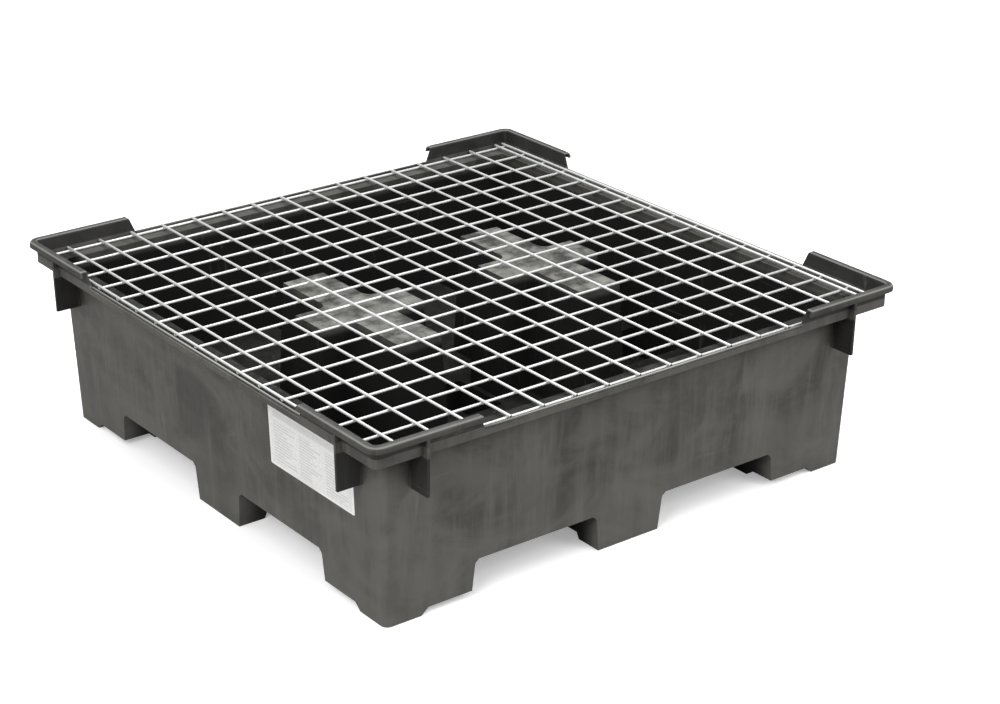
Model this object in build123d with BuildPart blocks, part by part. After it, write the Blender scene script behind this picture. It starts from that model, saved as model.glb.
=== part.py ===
"""Spill containment pallet: a moulded sump with a loose wire deck laid in its top.

Millimetres, +Z up. The origin is the centre of the footprint, on the floor.
"""

from build123d import *

import math
import os

os.makedirs("parts", exist_ok=True)

# ---- driving dimensions -------------------------------------------------

overall = 1282.7            # across the outer edges of the corner lips, both ways
height = 403.2              # floor to the crest of the corner lips
wall = 7.0                  # moulded wall thickness

# sump walls, from the floor up to the shelf
wall_inset_floor = 66.5     # outer face inside the overall square, at the floor
wall_inset_shelf = 55.0     # the same, at the underside of the shelf
wall_corner_radius = 14.0

# shelf and rim that carry the deck, all the way round
rim_height = 11.5           # from the underside of the shelf to the top of the rim
rim_inset = 14.5            # outer face of the rim inside the overall square
rim_wall = 6.0
shelf_thickness = 8.0

# fork tunnels, two each way, and the feet that they leave
tunnel_spacing = 456.0      # between the centre lines of two tunnels
tunnel_width = 305.5        # at the floor
tunnel_height = 78.0
tunnel_draft = 6.0          # degrees, the tunnel narrows upwards
tunnel_chamfer = 8.0        # of the upper corners
ceiling_thickness = 8.0
pocket_corner_radius = 10.0

# pads under the feet, and the relieved parts between them
pad_step = 14.0             # how far the relieved parts stand off the floor
corner_pad = 80.0           # side of the pad under the outer corner of a corner foot
corner_slope_run = 16.0
relief_depth = 72.0         # how far the relief of a corner foot reaches in from its face
relief_slope_run = 8.0
side_pad = 59.0             # depth of the pad at the outer face of a middle foot
side_slope_run = 5.0

# islands that stand in the sump under the deck
island_drop = 8.5           # top of an island below the ledge that carries the deck
island_length = 416.0       # long arm, at its top
island_long_width = 98.0
island_span = 250.0         # short arm, at its top
island_short_width = 90.0
island_draft = 3.0          # degrees
island_corner_radius = 8.0

# corner lips, rolled outwards at the top
lip_rise = 37.2             # crest above the top of the rim
lip_length = 253.0          # along each side from the outer corner, at the rim
lip_end_slope = 15.0        # the ends lean back by this much at the crest
lip_end_radius = 9.0
lip_corner_radius = 26.0    # outer edge of the lip, seen from above
lip_lean = 4.0              # the inner face leans outwards by this much at the crest
lip_inner_radius = 7.0      # inner shoulder of the crest
lip_outer_radius = 9.0      # outer shoulder of the crest
lip_turn_down = 14.0        # from the crest to the free edge

# gussets, two under each corner lip
gusset_position = 119.0     # middle of the gusset, from the outer corner
gusset_thickness = 6.0
gusset_drop = 78.5          # bottom edge below the underside of the shelf
gusset_inset_top = 0.5      # outer edge inside the overall square
gusset_inset_bottom = 3.0

# wire deck
wire_diameter = 5.7
deck_gap = 8.4              # between the deck and the rim, on each side
cell_count = 16             # whole cells from one edge wire to the other
first_cell = 55.0           # the panel is cut from a longer one, so the row at -X is narrow
wire_overhang = 10.0        # the upper wires run past the outermost lower wires
weld_sink = 0.3             # how far crossing wires sink into each other
deck_clearance = 0.3        # between the lower wires and the ledge

# label
label_width = 278.0
label_height = 128.0
label_thickness = 0.4
label_from_corner = 148.0   # near edge, from the outer corner at -X and -Y
label_drop = 28.5           # top edge below the underside of the shelf
glue_line = 0.05            # between the label and the wall

# ---- sizes that follow --------------------------------------------------

half = overall / 2
rim_top = height - lip_rise
shelf_bottom = rim_top - rim_height
ledge_top = shelf_bottom + shelf_thickness
rim_inner = rim_inset + rim_wall
rim_corner_radius = lip_corner_radius - rim_inset
floor_top = tunnel_height + ceiling_thickness
pocket_floor = pad_step + wall
island_top = ledge_top - island_drop
tunnel_offset = tunnel_spacing / 2

wall_lean = (wall_inset_floor - wall_inset_shelf) / shelf_bottom
wall_draft = math.degrees(math.atan(wall_lean))
tunnel_lean = math.tan(math.radians(tunnel_draft))
island_lean = math.tan(math.radians(island_draft))

wire_radius = wire_diameter / 2
deck_reach = half - rim_inner - deck_gap - wire_radius
wire_pitch = 2 * deck_reach / cell_count
lower_wire_z = ledge_top + deck_clearance + wire_radius
upper_wire_z = lower_wire_z + wire_diameter - weld_sink

bite = 2.0                  # overlap of shapes that are moulded as one
clear = 10.0                # how far a cutting shape runs past what it cuts


def wall_inset(z):
    """Outer face of the sump wall inside the overall square, at a height z."""
    return wall_inset_floor - z * wall_lean


def tunnel_half_width(z):
    """Half the clear width of a fork tunnel at a height z."""
    return tunnel_width / 2 - z * tunnel_lean


def square_plan(inset, radius):
    """A rounded square, this far inside the overall square."""
    side = overall - 2 * inset
    RectangleRounded(side, side, radius)


def trapezoid(bottom, top, span_at):
    """A profile between two heights, its sides given by span_at for each height."""
    low_bottom, high_bottom = span_at(bottom)
    low_top, high_top = span_at(top)
    corners = [(low_bottom, bottom), (high_bottom, bottom), (high_top, top), (low_top, top)]
    Polygon(*corners, align=None)


def wall_span(z):
    """The outer faces of two facing walls."""
    reach = half - wall_inset(z)
    return -reach, reach


def basin_span(z):
    """The inner faces of two facing walls."""
    reach = half - wall_inset(z) - wall
    return -reach, reach


def outer_hollow_span(z):
    """The hollow of a foot under a wall, on the positive side."""
    return tunnel_offset + tunnel_half_width(z) + wall, half - wall_inset(z) - wall


def inner_hollow_span(z):
    """The hollow of a foot in the middle."""
    reach = tunnel_offset - tunnel_half_width(z) - wall
    return -reach, reach


def tunnel_span(z):
    """The two sides of the fork tunnel on the positive side."""
    return tunnel_offset - tunnel_half_width(z), tunnel_offset + tunnel_half_width(z)


def plus_plan(growth):
    """Plan of an island with square corners, grown from its size at the top."""
    Rectangle(island_long_width + 2 * growth, island_length + 2 * growth)
    Rectangle(island_span + 2 * growth, island_short_width + 2 * growth)


def standing(edges):
    """The edges that run up and down."""
    return edges.filter_by(lambda edge: abs((edge @ 1 - edge @ 0).normalized().Z) > 0.5)


# ---- the basin above the floor, and the hollows of the nine feet --------

side_views = ((Plane.XZ, Mode.ADD), (Plane.YZ, Mode.INTERSECT))

with BuildPart() as basin:
    for plane, mode in side_views:
        with BuildSketch(plane):
            trapezoid(floor_top, ledge_top + bite, basin_span)
        extrude(amount=overall, both=True, mode=mode)
    fillet(standing(basin.edges()), wall_corner_radius - wall)

with BuildPart() as hollows:
    for plane, mode in side_views:
        with BuildSketch(plane):
            trapezoid(pocket_floor, floor_top + bite, inner_hollow_span)
            trapezoid(pocket_floor, floor_top + bite, outer_hollow_span)
            mirror(about=Plane.YZ)
        extrude(amount=overall, both=True, mode=mode)
    fillet(standing(hollows.edges()), pocket_corner_radius)

# ---- one island and the hollow under it ---------------------------------

with BuildPart() as island:
    with BuildSketch(Plane.XY.offset(floor_top - bite)) as island_plan:
        plus_plan((island_top - floor_top + bite) * island_lean)
        fillet(island_plan.vertices(), island_corner_radius)
    extrude(amount=island_top - floor_top + bite, taper=island_draft)

with BuildPart() as island_hollow:
    with BuildSketch(Plane.XY.offset(tunnel_height - bite)) as hollow_plan:
        plus_plan((island_top - tunnel_height + bite) * island_lean - wall)
        fillet(hollow_plan.vertices(), island_corner_radius)
    extrude(amount=island_top - wall - tunnel_height + bite, taper=island_draft)

# ---- one corner lip with its two gussets, towards -X and -Y -------------

lip_start = Plane(origin=(-half, -half + lip_length, 0), x_dir=(1, 0, 0), z_dir=(0, -1, 0))

with BuildPart() as corner:
    with BuildLine():
        FilletPolyline(
            (-half, -half + lip_length),
            (-half, -half),
            (-half + lip_length, -half),
            radius=lip_corner_radius,
        )
    # in the section, x is the inset from the overall square and y is the height
    with BuildSketch(lip_start) as lip_section:
        with BuildLine():
            Polyline(
                (rim_inner, shelf_bottom + bite),
                (rim_inner, rim_top),
                (rim_inner - lip_lean, height),
                (0, height),
                (0, height - lip_turn_down),
                (rim_wall, height - lip_turn_down),
                (rim_wall, height - rim_wall),
                (rim_inset, height - rim_wall),
                (rim_inset, shelf_bottom + bite),
                close=True,
            )
        make_face()
        outer_shoulder = lip_section.vertices().group_by(Axis.Y)[-1].sort_by(Axis.X)[0]
        fillet(outer_shoulder, lip_outer_radius)
        inner_shoulder = lip_section.vertices().group_by(Axis.Y)[-1].sort_by(Axis.X)[-1]
        fillet(inner_shoulder, lip_inner_radius)
    sweep()

    # the two ends lean back and are rounded over
    for side_plane in (Plane.XZ, Plane.YZ):
        with BuildSketch(side_plane) as lip_side:
            with BuildLine():
                Polyline(
                    (-half - clear, shelf_bottom),
                    (-half - clear, height + clear),
                    (-half - clear, height),
                    (-half + lip_length - lip_end_slope, height),
                    (-half + lip_length, rim_top),
                    (-half + lip_length, shelf_bottom),
                    close=True,
                )
            make_face()
            end_corner = lip_side.vertices().group_by(Axis.Y)[-1].sort_by(Axis.X)[-1]
            fillet(end_corner, lip_end_radius)
        extrude(amount=overall, both=True, mode=Mode.INTERSECT)

    # one gusset hangs under each arm of the lip, down against the wall
    gusset_bottom = shelf_bottom - gusset_drop
    gusset_top = height - lip_turn_down + bite
    gusset_middle = -half + gusset_position
    facing_y = Plane(origin=(-half, gusset_middle, 0), x_dir=(1, 0, 0), z_dir=(0, -1, 0))
    facing_x = Plane(origin=(gusset_middle, -half, 0), x_dir=(0, 1, 0), z_dir=(1, 0, 0))
    for gusset_plane in (facing_y, facing_x):
        with BuildSketch(gusset_plane):
            with BuildLine():
                Polyline(
                    (gusset_inset_bottom, gusset_bottom),
                    (gusset_inset_top, gusset_top),
                    (rim_inset + bite, gusset_top),
                    (rim_inset + bite, shelf_bottom + bite),
                    (wall_inset_shelf + bite, shelf_bottom + bite),
                    (wall_inset(gusset_bottom) + bite, gusset_bottom),
                    close=True,
                )
            make_face()
        extrude(amount=gusset_thickness / 2, both=True)

# ---- what is cut away under the feet along the side at -Y ---------------

face_at_floor = -half + wall_inset_floor


def strip_end_span(z):
    """The relief along a corner foot, from its pad into the tunnel."""
    slope = corner_slope_run * z / pad_step
    return face_at_floor + corner_pad + slope, -tunnel_offset - clear


def strip_depth_span(z):
    """The same relief, from outside the wall inwards."""
    return -half, face_at_floor + relief_depth - relief_slope_run * z / pad_step


def middle_depth_span(z):
    """The relief of a middle foot, from the pad at its face into the tunnel."""
    return face_at_floor + side_pad + side_slope_run * z / pad_step, -tunnel_offset


with BuildPart() as corner_relief:
    with BuildSketch(Plane.XZ):
        trapezoid(0, pad_step, strip_end_span)
    extrude(amount=overall, both=True)
    with BuildSketch(Plane.YZ):
        trapezoid(0, pad_step, strip_depth_span)
    extrude(amount=overall, both=True, mode=Mode.INTERSECT)
    mirror(about=Plane.YZ)

with BuildPart() as middle_relief:
    with BuildSketch(Plane.YZ):
        trapezoid(0, pad_step, middle_depth_span)
    extrude(amount=tunnel_offset - clear, both=True)

# ---- sump ---------------------------------------------------------------

with BuildPart() as sump:
    # outer walls, from the floor up to the shelf
    for plane, mode in side_views:
        with BuildSketch(plane):
            trapezoid(0, shelf_bottom, wall_span)
        extrude(amount=overall, both=True, mode=mode)
    fillet(standing(sump.edges()), wall_corner_radius)

    # the shelf slab, and the recess in it that the deck lies in
    with BuildSketch(Plane.XY.offset(shelf_bottom)):
        square_plan(rim_inset, rim_corner_radius)
    extrude(amount=rim_height)
    with BuildSketch(Plane.XY.offset(ledge_top)):
        square_plan(rim_inner, lip_corner_radius - rim_inner)
    extrude(amount=rim_height, mode=Mode.SUBTRACT)

    # the basin, with two islands that stand over the tunnels along Y
    add(basin.part, mode=Mode.SUBTRACT)
    for side in (-1, 1):
        with Locations((side * tunnel_offset, 0, 0)):
            add(island.part)

    # fork tunnels, two each way
    for plane in (Plane.XZ, Plane.YZ):
        with BuildSketch(plane) as openings:
            trapezoid(-clear, tunnel_height, tunnel_span)
            chamfer(openings.vertices().group_by(Axis.Y)[-1], tunnel_chamfer)
            mirror(about=Plane.YZ)
        extrude(amount=overall, both=True, mode=Mode.SUBTRACT)

    # the feet are hollow from above, the islands from below
    add(hollows.part, mode=Mode.SUBTRACT)
    for side in (-1, 1):
        with Locations((side * tunnel_offset, 0, 0)):
            add(island_hollow.part, mode=Mode.SUBTRACT)

    # the four sides and corners are alike
    with PolarLocations(0, 4):
        add(corner_relief.part, mode=Mode.SUBTRACT)
    with PolarLocations(0, 4):
        add(middle_relief.part, mode=Mode.SUBTRACT)
    with PolarLocations(0, 4):
        add(corner.part)

sump.part.label = "sump"
export_step(sump.part, "parts/sump.step")

# ---- label on the wall at -X --------------------------------------------

label_top = shelf_bottom - label_drop
label_plane = Plane(
    origin=(-half + wall_inset(label_top), -half + label_from_corner, label_top),
    x_dir=(0, -1, 0),
    z_dir=(-math.cos(math.radians(wall_draft)), 0, -math.sin(math.radians(wall_draft))),
)

with BuildPart() as label:
    with BuildSketch(label_plane.offset(glue_line)):
        with Locations((-label_width / 2, -label_height / 2)):
            Rectangle(label_width, label_height)
    extrude(amount=label_thickness)

label.part.label = "label"
export_step(label.part, "parts/label.step")

# ---- wire deck ----------------------------------------------------------

# lower wires run along X and end level with the outermost upper wires
lower_wire_places = [-deck_reach + wire_pitch * i for i in range(cell_count + 1)]
lower_wire_half_length = deck_reach + wire_radius

for number, place in enumerate(lower_wire_places, 1):
    name = f"lower_wire_{number:02d}"
    with BuildPart() as lower_wire:
        with BuildSketch(Plane(origin=(0, place, lower_wire_z), z_dir=(1, 0, 0))):
            Circle(wire_radius)
        extrude(amount=lower_wire_half_length, both=True)
    lower_wire.part.label = name
    export_step(lower_wire.part, f"parts/{name}.step")

# upper wires run along Y; the one at each end of the row closes the panel
upper_wire_places = [-deck_reach + first_cell + wire_pitch * i for i in range(cell_count)]
upper_wire_places = [-deck_reach] + upper_wire_places + [deck_reach]
upper_wire_half_length = deck_reach + wire_overhang

for number, place in enumerate(upper_wire_places, 1):
    name = f"upper_wire_{number:02d}"
    with BuildPart() as upper_wire:
        with BuildSketch(Plane(origin=(place, 0, upper_wire_z), z_dir=(0, 1, 0))):
            Circle(wire_radius)
        extrude(amount=upper_wire_half_length, both=True)
    upper_wire.part.label = name
    export_step(upper_wire.part, f"parts/{name}.step")
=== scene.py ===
import math
import random

import bmesh
import bpy
from mathutils import Matrix, Vector


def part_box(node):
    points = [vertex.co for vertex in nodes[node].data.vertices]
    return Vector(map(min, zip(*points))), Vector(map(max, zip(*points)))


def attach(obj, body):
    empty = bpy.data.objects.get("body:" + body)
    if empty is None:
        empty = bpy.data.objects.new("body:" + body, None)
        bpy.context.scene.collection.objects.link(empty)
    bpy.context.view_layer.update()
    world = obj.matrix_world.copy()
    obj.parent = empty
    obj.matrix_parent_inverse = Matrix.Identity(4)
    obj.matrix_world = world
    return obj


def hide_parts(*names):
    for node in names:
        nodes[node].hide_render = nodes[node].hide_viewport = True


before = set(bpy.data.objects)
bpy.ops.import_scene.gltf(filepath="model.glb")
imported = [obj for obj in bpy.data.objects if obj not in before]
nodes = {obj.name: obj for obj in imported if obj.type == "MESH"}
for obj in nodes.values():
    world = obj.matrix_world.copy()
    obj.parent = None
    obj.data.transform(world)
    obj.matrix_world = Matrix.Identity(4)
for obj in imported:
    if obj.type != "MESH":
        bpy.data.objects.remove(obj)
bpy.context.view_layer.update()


# ---- sump ------------------------------------------------------------------
# The sump is one rotationally moulded piece of black polyethylene: basin, feet,
# islands, shelf, lips and gussets together. Every edge leaves the mould slightly
# rounded, and the open ones are paler, from wear and from painted highlight.


def clean_copy(node):
    """The merged mesh of a CAD node, in a bmesh with one face for each flat side."""
    mesh = bmesh.new()
    mesh.from_mesh(nodes[node].data)
    bmesh.ops.remove_doubles(mesh, verts=mesh.verts, dist=1e-5)
    bmesh.ops.dissolve_limit(
        mesh, angle_limit=math.radians(0.6), use_dissolve_boundaries=False,
        verts=mesh.verts, edges=mesh.edges,
    )
    return mesh


EDGE_RADIUS = 0.0024
EDGE_STEPS = 2
SHARP_FOLD = math.radians(24)

# heights above the floor
KICK_TOP = 0.22
BASIN_FLOOR = 0.086
# below this height the basin is painted in shade
BASIN_SHADE_LINE = 0.350
ISLAND_TOP = 0.354
SHELF_UNDER = 0.3545
DECK_LEDGE = 0.3625
RIM_TOP = 0.366
LIP_FOOT = 0.3715
LIP_SHOULDER = 0.390

# distances from the middle of the sump
# where the painted shade up the basin's -X and -Y sides begins
NEAR_SHADE_START = 0.53
TUNNEL_MOUTH = 0.572
WALL_FACE = 0.586
LIP_INNER = 0.632

sump_mesh = clean_copy("sump")
folds = [
    edge for edge in sump_mesh.edges
    if len(edge.link_faces) == 2 and edge.calc_face_angle() > SHARP_FOLD
]
# the rounded edges are marked, for wear and for painted highlight in the material
edge_mark = sump_mesh.faces.layers.float.new("wear_and_highlight_edge")
inside = sump_mesh.faces.layers.float.new("inside_basin")
rounded = bmesh.ops.bevel(
    sump_mesh, geom=folds, offset=EDGE_RADIUS, offset_type="OFFSET", segments=EDGE_STEPS,
    profile=0.5, affect="EDGES", material=-1, clamp_overlap=True,
)
for face in rounded["faces"]:
    face[edge_mark] = 1.0

# everything up to the ledge that can be reached from the basin floor is its inside
level_faces = [
    face for face in sump_mesh.faces
    if face.normal.z > 0.9 and abs(face.calc_center_median().z - BASIN_FLOOR) < 0.006
]
reached = [max(level_faces, key=lambda face: face.calc_area())]
while reached:
    face = reached.pop()
    if face[inside] or face.calc_center_median().z > DECK_LEDGE + 0.0005:
        continue
    face[inside] = 1.0
    reached += [other for edge in face.edges for other in edge.link_faces if other != face]


def put(tree, kind, settings=None, **inputs):
    """A shader node with its settings made and its inputs linked or filled in."""
    made = tree.nodes.new("ShaderNode" + kind)
    for name, value in (settings or {}).items():
        setattr(made, name, value)
    for name, value in inputs.items():
        socket = made.inputs[int(name[1:]) if name[0] == "_" else name.replace("_", " ")]
        if isinstance(value, bpy.types.NodeSocket):
            tree.links.new(value, socket)
        else:
            socket.default_value = value
    return made


def maths(tree, operation, first, second=0.0, clamp=False):
    """The result of one operation on two values."""
    settings = {"operation": operation, "use_clamp": clamp}
    return put(tree, "Math", settings, _0=first, _1=second).outputs[0]


def product(tree, first, *others):
    """Several masks or values multiplied together."""
    for other in others:
        first = maths(tree, "MULTIPLY", first, other)
    return first


def strongest(tree, first, *others):
    """The strongest of several masks, point by point."""
    for other in others:
        first = maths(tree, "MAXIMUM", first, other)
    return first


def mask_group(name):
    """An empty shader node group that takes an amount and gives a mask."""
    tree = bpy.data.node_groups.new(name, "ShaderNodeTree")
    tree.interface.new_socket("Amount", in_out="INPUT", socket_type="NodeSocketFloat")
    tree.interface.new_socket("Mask", in_out="OUTPUT", socket_type="NodeSocketFloat")
    return tree


def give_mask(tree, mask):
    """Sends a mask, times the group's amount, out of the group."""
    amount = tree.nodes.new("NodeGroupInput").outputs["Amount"]
    mask = maths(tree, "MULTIPLY", mask, amount, clamp=True)
    tree.links.new(mask, tree.nodes.new("NodeGroupOutput").inputs["Mask"])


def stretched(tree, scale=(1.0, 1.0, 1.0), turn=(0.0, 0.0, 0.0)):
    """Object coordinates, scaled and turned."""
    place = put(tree, "TexCoord").outputs["Object"]
    return put(tree, "Mapping", Vector=place, Rotation=turn, Scale=scale).outputs[0]


def speckle(tree, vector, scale, detail, roughness=0.55, distortion=0.0):
    """Cloudy noise from 0 to 1."""
    return put(
        tree, "TexNoise", Vector=vector, Scale=scale, Detail=detail, Roughness=roughness,
        Distortion=distortion,
    ).outputs["Fac"]


def band(tree, value, low, high, bottom=0.0, top=1.0):
    """The value eased from bottom to top between low and high."""
    settings = {"interpolation_type": "SMOOTHSTEP"}
    return put(
        tree, "MapRange", settings, Value=value, _1=low, _2=high, _3=bottom, _4=top
    ).outputs[0]


# dust settles on what faces up, in patches
dust = mask_group("settled_dust")
normal = put(dust, "NewGeometry").outputs["Normal"]
upward = band(dust, put(dust, "SeparateXYZ", Vector=normal).outputs["Z"], 0.55, 0.95)
patches = band(dust, speckle(dust, stretched(dust), 19.0, 6.0, 0.7), 0.38, 0.62, 0.03, 1.0)
grit = band(dust, speckle(dust, stretched(dust), 420.0, 2.0), 0.3, 0.7, 0.75, 1.0)
give_mask(dust, product(dust, upward, patches, grit))

# thin rubbed lines in two directions
scuffs = mask_group("scuffs")
steep = speckle(scuffs, stretched(scuffs, (60, 60, 5), (0.25, 0.2, 0)), 1.0, 4.0, 0.6, 0.4)
level = speckle(scuffs, stretched(scuffs, (5, 5, 70), (0.1, -0.15, 0)), 1.0, 4.0, 0.6, 0.4)
where = band(scuffs, speckle(scuffs, stretched(scuffs), 3.1, 3.0), 0.45, 0.7)
lines = strongest(scuffs, band(scuffs, steep, 0.60, 0.72), band(scuffs, level, 0.62, 0.74))
give_mask(scuffs, product(scuffs, lines, where))


def blend_colours(tree, amount, first, second):
    """Two colours mixed by an amount."""
    mix = tree.nodes.new("ShaderNodeMix")
    mix.data_type = "RGBA"
    for index, value in ((0, amount), (6, first), (7, second)):
        if isinstance(value, bpy.types.NodeSocket):
            tree.links.new(value, mix.inputs[index])
        else:
            mix.inputs[index].default_value = value
    return mix.outputs[2]


def new_material(name, **fixed):
    """A material with its shader's constant sockets set."""
    material = bpy.data.materials.new(name)
    material.use_nodes = True
    shader = material.node_tree.nodes["Principled BSDF"]
    for socket_name, value in fixed.items():
        shader.inputs[socket_name.replace("_", " ")].default_value = value
    return material, material.node_tree, shader


def cover(tree, shader, colour, roughness, relief, strength, distance):
    """Gives the shader its colour, its roughness and the relief of its surface."""
    bump = put(tree, "Bump", Height=relief, Strength=strength, Distance=distance)
    tree.links.new(colour, shader.inputs["Base Color"])
    tree.links.new(roughness, shader.inputs["Roughness"])
    tree.links.new(bump.outputs["Normal"], shader.inputs["Normal"])


# Of these colours, the third is the near-black of painted shade, the sixth the grey of painted
# highlights, and the fifth serves wear and painted highlight on open edges.
SUMP_BLACK = (0.044, 0.0425, 0.038, 1)
SUMP_PALE = (0.116, 0.1125, 0.102, 1)
SUMP_SHADE = (0.004, 0.004, 0.0035, 1)
SUMP_DUST = (0.22, 0.22, 0.205, 1)
SUMP_WEAR_AND_HIGHLIGHT = (0.17, 0.17, 0.16, 1)
SUMP_HIGHLIGHT = (0.30, 0.30, 0.28, 1)

sump_material, tree, shader = new_material(
    "black_polyethylene", IOR=1.5, Specular_IOR_Level=0.3
)
place = put(tree, "SeparateXYZ", Vector=put(tree, "TexCoord").outputs["Object"])
height_up = place.outputs["Z"]
outward = strongest(
    tree, maths(tree, "ABSOLUTE", place.outputs["X"]), maths(tree, "ABSOLUTE", place.outputs["Y"])
)
normal = put(tree, "NewGeometry").outputs["Normal"]
facing = put(tree, "SeparateXYZ", Vector=normal).outputs["Z"]

# the walls are smoky, streaked down their height, and paler where they are kicked
flow = speckle(tree, stretched(tree, (14, 14, 1.6)), 1.0, 5.0, 0.65)
fine_flow = speckle(tree, stretched(tree, (70, 70, 7), (0.03, 0.04, 0)), 1.0, 3.0, 0.6, 0.5)
clouds = speckle(tree, stretched(tree, (1, 1, 1.6)), 5.5, 6.0, 0.62, 0.9)
smoky = band(tree, clouds, 0.34, 0.66, 0.0, 0.65)
streaks = band(tree, flow, 0.38, 0.66, 0.0, 0.5)
fine_streaks = product(
    tree, band(tree, fine_flow, 0.42, 0.70, 0.0, 0.6), band(tree, flow, 0.35, 0.65)
)
kicked = band(tree, height_up, 0.02, KICK_TOP, 0.28, 0.0)
colour = blend_colours(tree, smoky, SUMP_BLACK, SUMP_PALE)
colour = blend_colours(tree, streaks, colour, SUMP_PALE)
colour = blend_colours(tree, fine_streaks, colour, SUMP_PALE)
colour = blend_colours(tree, kicked, colour, SUMP_WEAR_AND_HIGHLIGHT)

# painted shade: recesses found by ambient occlusion behind and under the lips, the wall
# just under the rim and what lies above it, the tunnels, the gussets and the lips are darkened
occlusion = put(
    tree, "AmbientOcclusion", {"samples": 8, "only_local": True}, Distance=0.09
).outputs["AO"]
corner_shade = band(tree, occlusion, 0.32, 0.68, 0.97, 0.0)
under_rim_shade = band(tree, height_up, SHELF_UNDER - 0.0325, SHELF_UNDER - 0.0165, 0.0, 0.2)
tunnel_shade = product(
    tree, band(tree, outward, TUNNEL_MOUTH - 0.052, TUNNEL_MOUTH, 0.8, 0.0),
    band(tree, height_up, BASIN_FLOOR - 0.002, BASIN_FLOOR + 0.004, 1.0, 0.0),
)
off_rim = band(tree, height_up, SHELF_UNDER - 0.001, SHELF_UNDER, 1.0, 0.5)
gusset_shade = product(
    tree, band(tree, outward, WALL_FACE, WALL_FACE + 0.006),
    band(tree, height_up, SHELF_UNDER - 0.0045, SHELF_UNDER - 0.001, 0.8, 0.0),
)
lip_shade = product(
    tree, band(tree, height_up, LIP_FOOT, LIP_FOOT + 0.0025),
    band(tree, outward, LIP_INNER, LIP_INNER + 0.006, 0.78, 0.5),
)
painted_shade = product(tree, strongest(tree, corner_shade, under_rim_shade, tunnel_shade), off_rim)
painted_shade = strongest(tree, painted_shade, gusset_shade, lip_shade)
colour = blend_colours(tree, painted_shade, colour, SUMP_SHADE)

# painted shade blackens the basin below its brim, and right up to the brim at -X and
# at -Y; the ledge and the island tops are darkened as well
in_basin = put(tree, "Attribute", {"attribute_name": "inside_basin"}).outputs["Fac"]
low_side = maths(tree, "MINIMUM", place.outputs["X"], place.outputs["Y"])
below_line = band(tree, height_up, BASIN_SHADE_LINE - 0.020, BASIN_SHADE_LINE, 1.0, 0.0)
by_low_sides = band(tree, low_side, -NEAR_SHADE_START - 0.03, -NEAR_SHADE_START, 1.0, 0.0)
on_tops = band(tree, height_up, ISLAND_TOP - 0.002, ISLAND_TOP - 0.0005, 0.0, 0.42)
basin_shade = product(tree, in_basin, strongest(tree, below_line, by_low_sides, on_tops))
colour = blend_colours(tree, basin_shade, colour, SUMP_SHADE)

# it is rubbed all over, and dust lies on the tops of the islands
rub = put(tree, "Group", {"node_tree": scuffs}, Amount=0.4).outputs["Mask"]
colour = blend_colours(tree, product(tree, rub, 0.8), colour, SUMP_WEAR_AND_HIGHLIGHT)
lying = product(
    tree, put(tree, "Group", {"node_tree": dust}, Amount=0.85).outputs["Mask"],
    band(tree, height_up, ISLAND_TOP - 0.054, ISLAND_TOP - 0.009, 0.05, 1.0),
    band(tree, height_up, ISLAND_TOP + 0.002, ISLAND_TOP + 0.007, 1.0, 0.12),
)
colour = blend_colours(tree, lying, colour, SUMP_DUST)

# the open edges are paler, from wear and from painted highlight; painted highlight lines
# run along the rim's edges, the top of the bead and the shoulder of each lip
edge_wear_and_highlight = product(
    tree, put(tree, "Attribute", {"attribute_name": "wear_and_highlight_edge"}).outputs["Fac"],
    band(tree, clouds, 0.3, 0.6, 0.45, 0.9),
)
open_edge = product(
    tree, edge_wear_and_highlight, maths(tree, "SUBTRACT", 1.0, in_basin),
    band(tree, height_up, SHELF_UNDER - 0.001, SHELF_UNDER, 0.2, 0.75),
)
colour = blend_colours(tree, open_edge, colour, SUMP_WEAR_AND_HIGHLIGHT)
rim_edge_highlight = product(
    tree, edge_wear_and_highlight, band(tree, height_up, DECK_LEDGE + 0.0007, DECK_LEDGE + 0.002, 0.0, 0.32)
)
bead_top_highlight = product(
    tree, band(tree, facing, 0.45, 0.9),
    band(tree, height_up, RIM_TOP + 0.0004, RIM_TOP + 0.0012),
    band(tree, height_up, LIP_FOOT, LIP_FOOT + 0.0015, 0.85, 0.0),
)
lip_shoulder_highlight = product(
    tree, band(tree, facing, 0.5, 0.64), band(tree, facing, 0.78, 0.9, 1.0, 0.0),
    band(tree, height_up, LIP_SHOULDER, LIP_SHOULDER + 0.004, 0.0, 0.42),
)
painted_highlights = strongest(tree, rim_edge_highlight, bead_top_highlight, lip_shoulder_highlight)
colour = blend_colours(tree, painted_highlights, colour, SUMP_HIGHLIGHT)

roughness = band(tree, flow, 0.3, 0.7, 0.40, 0.56)
roughness = maths(tree, "ADD", roughness, product(tree, lying, 0.3))
roughness = maths(tree, "ADD", roughness, product(tree, basin_shade, 0.6), clamp=True)
peel = product(tree, speckle(tree, stretched(tree), 260.0, 3.0), 0.06)
swell = product(tree, speckle(tree, stretched(tree, (1, 1, 0.6)), 9.0, 3.0), 0.9)
relief = maths(tree, "ADD", maths(tree, "ADD", peel, swell), product(tree, rub, 0.08))
cover(tree, shader, colour, roughness, relief, 0.55, 0.0022)


def finished(mesh, name, material, body, replaced=()):
    """Makes the piece from its bmesh, sets it on its body and hides the CAD parts it replaces."""
    data = bpy.data.meshes.new(name)
    mesh.to_mesh(data)
    mesh.free()
    data.materials.append(material)
    piece = bpy.data.objects.new(name, data)
    bpy.context.collection.objects.link(piece)
    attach(piece, body)
    if replaced:
        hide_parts(*replaced)
    return piece


sump = finished(sump_mesh, "moulded_sump", sump_material, "base", ["sump"])
sump.data.polygons.foreach_set("use_smooth", [True] * len(sump.data.polygons))
even = sump.modifiers.new("even_normals", "WEIGHTED_NORMAL")
even.mode = "FACE_AREA"
even.keep_sharp = True


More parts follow.
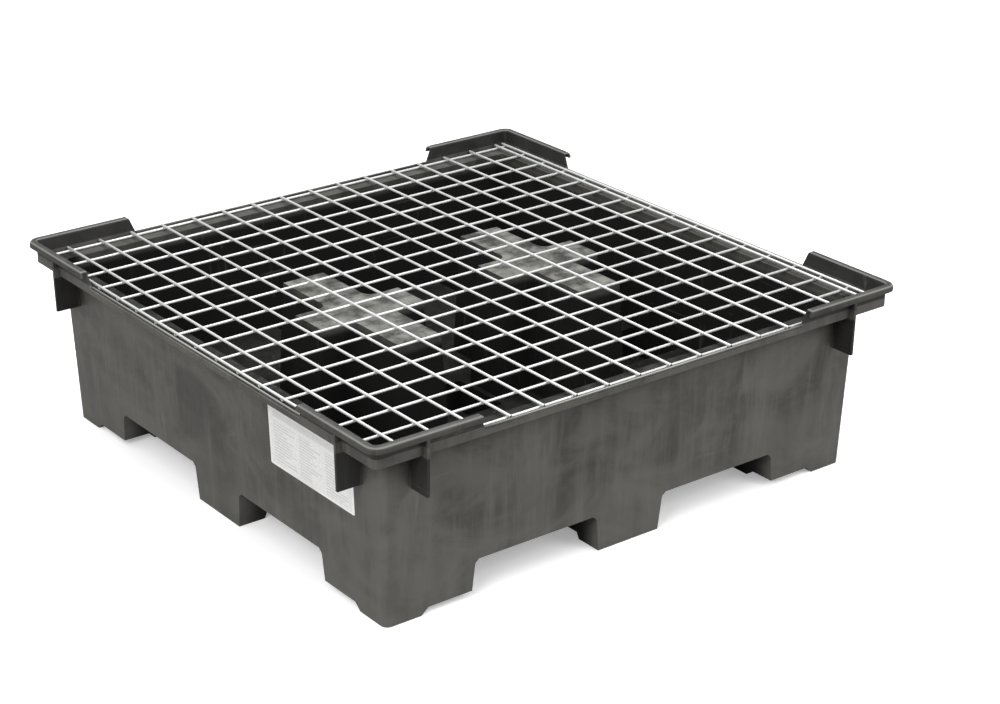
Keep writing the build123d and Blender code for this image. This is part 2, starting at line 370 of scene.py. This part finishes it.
# ---- rim bead ----------------------------------------------------------------
# A round bead is moulded along the inner edge of the rim between the lips. It is
# part of the sump, stiffens the rim, and keeps the deck from sliding.
BEAD_RADIUS = 0.0028
BEAD_HEIGHT = RIM_TOP + 0.0016
BEAD_LENGTH = 0.776
BEAD_OFFSET_Y = 0.6232
BEAD_OFFSET_X = 0.6208
BAR_SIDES = 16


def round_bar(mesh, radius, length):
    """Adds an upright round bar to a bmesh, about its middle, and gives its corners."""
    return bmesh.ops.create_cone(
        mesh, cap_ends=True, segments=BAR_SIDES, radius1=radius, radius2=radius, depth=length
    )["verts"]


along_x = Matrix.Rotation(math.radians(90), 3, "Y")
rim_bead = bmesh.new()
for turn, offset in (
    (0, BEAD_OFFSET_Y), (90, BEAD_OFFSET_X), (180, BEAD_OFFSET_Y), (270, BEAD_OFFSET_X)
):
    stretch = round_bar(rim_bead, BEAD_RADIUS, BEAD_LENGTH)
    to_side = Matrix.Rotation(math.radians(turn), 3, "Z")
    bmesh.ops.rotate(rim_bead, verts=stretch, matrix=along_x)
    bmesh.ops.translate(rim_bead, verts=stretch, vec=(0, -offset, BEAD_HEIGHT))
    bmesh.ops.rotate(rim_bead, verts=stretch, matrix=to_side)
for face in rim_bead.faces:
    face.smooth = len(face.verts) == 4
finished(rim_bead, "rim_bead", sump_material, "base")


# ---- label -----------------------------------------------------------------
# A thin white film is stuck to the wall at -X, half behind a gusset. It carries
# only plain grey bars, a broad one over three columns of narrow ones.
LABEL_CORNER = 0.004
LABEL_EDGE = 0.00012
PRINT_ROWS = 21.0
PRINT_COLUMNS = ((0.06, 0.33), (0.37, 0.64), (0.68, 0.94))
FILM_WHITE = (0.88, 0.88, 0.86, 1)
FILM_GREY = (0.61, 0.61, 0.59, 1)
PRINT_GREY = (0.34, 0.34, 0.34, 1)

# its four corners are cut round, and then its whole outline is softened
label_low, label_high = (Vector(corner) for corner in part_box("label"))
label_mesh = clean_copy("label")
corners = sorted(label_mesh.edges, key=lambda edge: edge.calc_length())[:4]
bmesh.ops.bevel(
    label_mesh, geom=corners, offset=LABEL_CORNER, offset_type="OFFSET", segments=5,
    profile=0.5, affect="EDGES", material=-1,
)
rim = [edge for edge in label_mesh.edges if edge.calc_face_angle(0) > SHARP_FOLD]
bmesh.ops.bevel(
    label_mesh, geom=rim, offset=LABEL_EDGE, offset_type="OFFSET", segments=1,
    profile=0.5, affect="EDGES", material=-1, clamp_overlap=True,
)
printed = label_mesh.loops.layers.uv.new("printed_face")
for face in label_mesh.faces:
    for loop in face.loops:
        from_left = (label_high.y - loop.vert.co.y) / (label_high.y - label_low.y)
        from_foot = (loop.vert.co.z - label_low.z) / (label_high.z - label_low.z)
        loop[printed].uv = (from_left, from_foot)

label_material, tree, shader = new_material("printed_film", IOR=1.46)
film_place = put(tree, "UVMap", {"uv_map": "printed_face"}).outputs["UV"]
film_place = put(tree, "SeparateXYZ", Vector=film_place)
across, up = film_place.outputs["X"], film_place.outputs["Y"]


def between(tree, value, low, high, soft=0.004):
    """1 where the value lies between two bounds."""
    rising = band(tree, value, low - soft, low + soft)
    falling = band(tree, value, high - soft, high + soft, 1.0, 0.0)
    return maths(tree, "MULTIPLY", rising, falling)


# each row's bars end at a different place, as lines of small print would
row = maths(tree, "FLOOR", product(tree, up, PRINT_ROWS))
in_row = maths(tree, "FRACT", product(tree, up, PRINT_ROWS))
columns = []
for number, (left, right) in enumerate(PRINT_COLUMNS):
    seed = maths(tree, "ADD", row, 37.0 * number)
    length = put(tree, "TexWhiteNoise", {"noise_dimensions": "1D"}, W=seed).outputs["Value"]
    end = band(tree, length, 0.0, 1.0, left + 0.45 * (right - left), right)
    started = maths(tree, "GREATER_THAN", across, left)
    columns.append(product(tree, started, maths(tree, "LESS_THAN", across, end)))
bars = product(
    tree, strongest(tree, *columns), between(tree, in_row, 0.25, 0.68, 0.06),
    between(tree, up, 0.07, 0.74),
)
heading = product(tree, between(tree, up, 0.81, 0.91), between(tree, across, 0.06, 0.94))
ink = maths(tree, "ADD", product(tree, bars, 0.38), product(tree, heading, 0.26))

# the film has greyed in patches and in a fine grain, all but a clean margin
patches = band(tree, speckle(tree, stretched(tree), 14.0, 5.0), 0.35, 0.7, 0.0, 0.6)
grain = band(tree, speckle(tree, stretched(tree), 260.0, 2.0), 0.35, 0.65, 0.0, 0.35)
inner = product(tree, between(tree, up, 0.035, 0.965), between(tree, across, 0.02, 0.98))
age = strongest(tree, patches, maths(tree, "ADD", product(tree, inner, 0.3), grain))
colour = blend_colours(tree, age, FILM_WHITE, FILM_GREY)
colour = blend_colours(tree, ink, colour, PRINT_GREY)
rub = put(tree, "Group", {"node_tree": scuffs}, Amount=0.35).outputs["Mask"]
colour = blend_colours(tree, rub, colour, FILM_GREY)
roughness = band(tree, age, 0.0, 0.6, 0.34, 0.5)
crinkle = speckle(tree, stretched(tree), 35.0, 2.0)
cover(tree, shader, colour, roughness, crinkle, 0.3, 0.0004)
finished(label_mesh, "wall_label", label_material, "base", ["label"])


# ---- deck wires --------------------------------------------------------------
# The deck is a panel of round steel wire, welded, coated with zinc and then cut
# on a shear, which leaves the wires' ends bare, dull and slightly rounded over.
CUT_ROUND = 0.0007
ZINC = (0.65, 0.66, 0.65, 1)
ZINC_DULL = (0.46, 0.47, 0.47, 1)
ZINC_STAIN = (0.38, 0.36, 0.33, 1)
BARE_STEEL = (0.14, 0.135, 0.125, 1)

wire_material, tree, shader = new_material("zinc_coated_steel", Metallic=0.55, IOR=1.5)
cells = put(
    tree, "TexVoronoi", {"feature": "F1"}, Vector=stretched(tree), Scale=330.0
).outputs["Color"]
spangle = put(tree, "SeparateXYZ", Vector=cells).outputs["X"]
patina = speckle(tree, stretched(tree), 16.0, 5.0, 0.65)
dulled = band(tree, patina, 0.5, 0.74, 0.0, 0.45)
drips = band(tree, speckle(tree, stretched(tree), 95.0, 3.0), 0.64, 0.74, 0.0, 0.5)
lying = put(tree, "Group", {"node_tree": dust}, Amount=0.15).outputs["Mask"]
bare = put(tree, "Attribute", {"attribute_name": "cut_end"}).outputs["Fac"]
colour = blend_colours(tree, product(tree, spangle, 0.22), ZINC, ZINC_DULL)
colour = blend_colours(tree, dulled, colour, ZINC_DULL)
colour = blend_colours(tree, drips, colour, ZINC_STAIN)
colour = blend_colours(tree, lying, colour, SUMP_DUST)
colour = blend_colours(tree, bare, colour, BARE_STEEL)
roughness = band(tree, patina, 0.3, 0.7, 0.34, 0.55)
roughness = maths(tree, "ADD", roughness, product(tree, spangle, 0.08))
fine_grain = speckle(tree, stretched(tree), 500.0, 3.0)
coating = maths(tree, "ADD", product(tree, spangle, 0.2), fine_grain)
cover(tree, shader, colour, roughness, coating, 0.35, 0.0003)


def straight_wire(node, turn):
    """A wire with rounded ends, along the way that its CAD node runs."""
    low, high = (Vector(corner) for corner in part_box(node))
    wire = bmesh.new()
    round_bar(wire, (high.z - low.z) / 2, max(high - low))
    cut_end = wire.faces.layers.float.new("cut_end")
    for face in wire.faces:
        face[cut_end] = float(len(face.verts) == BAR_SIDES)
    ends = [edge for edge in wire.edges if edge.calc_face_angle() > SHARP_FOLD]
    bmesh.ops.bevel(
        wire, geom=ends, offset=CUT_ROUND, offset_type="OFFSET", segments=2, profile=0.5,
        affect="EDGES", material=-1,
    )
    bmesh.ops.rotate(wire, verts=wire.verts, matrix=turn)
    bmesh.ops.translate(wire, verts=wire.verts, vec=(low + high) / 2)
    for face in wire.faces:
        face.smooth = len(face.verts) == 4
    return wire


along_y = Matrix.Rotation(math.radians(90), 3, "X")
lower_names = sorted(name for name in nodes if name.startswith("lower_wire_"))
upper_names = sorted(name for name in nodes if name.startswith("upper_wire_"))
for names, turn in ((lower_names, along_x), (upper_names, along_y)):
    for name in names:
        bar = name.replace("wire", "bar")
        finished(straight_wire(name, turn), bar, wire_material, "deck", [name])


# ---- welds -------------------------------------------------------------------
# The wires are resistance welded where they cross: each pair is pressed together
# hot, and a little metal squeezes out round the joint.
WELD_REACH = 0.0031
WELD_RISE = 0.0016
WELD_VARIES = (0.88, 1.1)
random.seed(7)

welds = bmesh.new()
for lower in lower_names:
    lower_low, lower_high = (Vector(corner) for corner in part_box(lower))
    for upper in upper_names:
        upper_low, upper_high = (Vector(corner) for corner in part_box(upper))
        spot = (upper_low + upper_high) / 2
        spot.y = (lower_low.y + lower_high.y) / 2
        spot.z = (lower_high.z + upper_low.z) / 2
        blob = bmesh.ops.create_uvsphere(welds, u_segments=8, v_segments=5, radius=1.0)["verts"]
        spread = random.uniform(*WELD_VARIES)
        narrow = random.uniform(*WELD_VARIES)
        twist = Matrix.Rotation(random.uniform(-0.3, 0.3), 3, "Z")
        size = (WELD_REACH * spread, WELD_REACH * narrow, WELD_RISE * spread)
        bmesh.ops.scale(welds, verts=blob, vec=size)
        bmesh.ops.rotate(welds, verts=blob, matrix=twist)
        bmesh.ops.translate(welds, verts=blob, vec=spot)
for face in welds.faces:
    face.smooth = True
finished(welds, "welds", wire_material, "deck")


# ---- stage, light and camera ---------------------------------------------------
# A pale studio floor under a pale sky, with one soft light overhead and one at each
# side in front. The floor and the sky near it show pale but throw little light back,
# so the walls of the sump stay darker than its top.
FLOOR_REACH = 30.0
FLOOR_SEEN = (0.9, 0.9, 0.9, 1)
FLOOR_GREY = (0.35, 0.35, 0.35, 1)
FLOOR_GLOW = 0.3
SKY_LOW = 0.30
SKY_HIGH = 1.25

floor_mesh = bmesh.new()
bmesh.ops.create_grid(floor_mesh, x_segments=1, y_segments=1, size=FLOOR_REACH)
floor_material, tree, shader = new_material(
    "pale_floor", Roughness=0.9, Emission_Strength=1.0
)
seen = put(tree, "LightPath").outputs["Is Camera Ray"]
pale = blend_colours(tree, seen, FLOOR_GREY, FLOOR_SEEN)
tree.links.new(pale, shader.inputs["Base Color"])
tree.links.new(product(tree, seen, FLOOR_GLOW), shader.inputs["Emission Color"])
floor_data = bpy.data.meshes.new("floor")
floor_mesh.to_mesh(floor_data)
floor_mesh.free()
floor_data.materials.append(floor_material)
floor = bpy.data.objects.new("floor", floor_data)
bpy.context.collection.objects.link(floor)

scene = bpy.context.scene
scene.world = bpy.data.worlds.new("studio")
scene.world.use_nodes = True
sky = scene.world.node_tree
seen = put(sky, "LightPath").outputs["Is Camera Ray"]
direction = put(sky, "TexCoord").outputs["Generated"]
upward = put(sky, "SeparateXYZ", Vector=direction).outputs["Z"]
glow = band(sky, upward, -0.1, 0.9, SKY_LOW, SKY_HIGH)
sky.links.new(strongest(sky, glow, seen), sky.nodes["Background"].inputs["Strength"])
sky.nodes["Background"].inputs["Color"].default_value = (1, 1, 1, 1)

LIGHTS_AIM = Vector((0, 0, 0.2))
for name, stand, side, watts in (
    ("overhead", (0.4, 0.6, 3.4), 2.6, 80),
    ("front_left", (-3.4, -1.8, 2.6), 1.8, 84),
    ("front_right", (1.4, -3.8, 2.6), 1.8, 57),
):
    softbox = bpy.data.lights.new(name, "AREA")
    softbox.shape = "SQUARE"
    softbox.size = side
    softbox.energy = watts
    lamp = bpy.data.objects.new(name, softbox)
    lamp.location = stand
    lamp.rotation_euler = (LIGHTS_AIM - Vector(stand)).to_track_quat("-Z", "Y").to_euler()
    bpy.context.collection.objects.link(lamp)

CAMERA_LOOKS_DOWN = math.radians(23.804)
CAMERA_TURN = math.radians(-36.931)
camera_data = bpy.data.cameras.new("camera")
camera_data.sensor_width = 36
camera_data.lens = 83.85
camera_data.shift_x = 0.0295
camera_data.shift_y = 0.0191
camera_data.clip_end = 100
camera = bpy.data.objects.new("camera", camera_data)
camera.location = (-2.6528, -3.5948, 2.1258)
camera.rotation_euler = (math.radians(90) - CAMERA_LOOKS_DOWN, 0, CAMERA_TURN)
bpy.context.collection.objects.link(camera)
scene.camera = camera
scene.view_settings.view_transform = "Standard"
